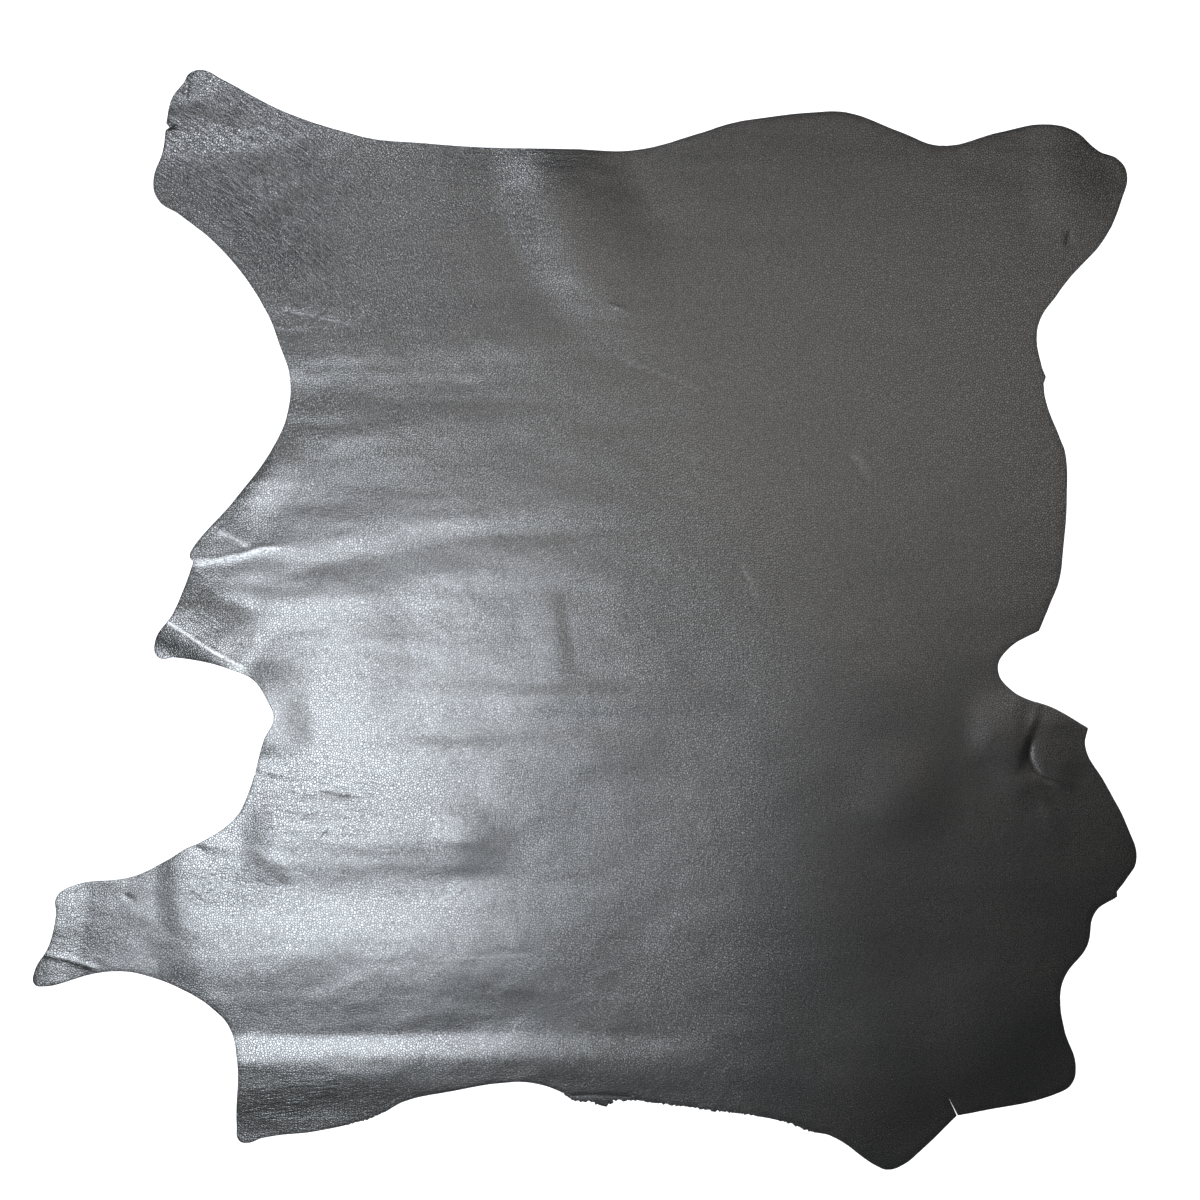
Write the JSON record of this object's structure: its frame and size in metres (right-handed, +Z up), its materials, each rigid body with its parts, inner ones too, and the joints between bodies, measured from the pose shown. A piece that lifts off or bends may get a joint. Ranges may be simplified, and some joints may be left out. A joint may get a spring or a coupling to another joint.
{
  "type": "leather hide",
  "caption": "Whole trimmed skin of black grain leather, laid out grain side up, with its natural outline and low soft folds running in from its left side.",
  "frame": {"origin": "middle of the skin's outline box, on the surface that it lies on", "axes": "+Z up, out of the grain side; +X towards the picture's right; +Y towards its top"},
  "size_m": [0.9924, 0.989, 0.0043],
  "materials": {
    "grain_leather": "semi-gloss black finish over a fine pebbled grain"
  },
  "bodies": {
    "root": {"hide": "grain_leather"}
  },
  "joints": []
}
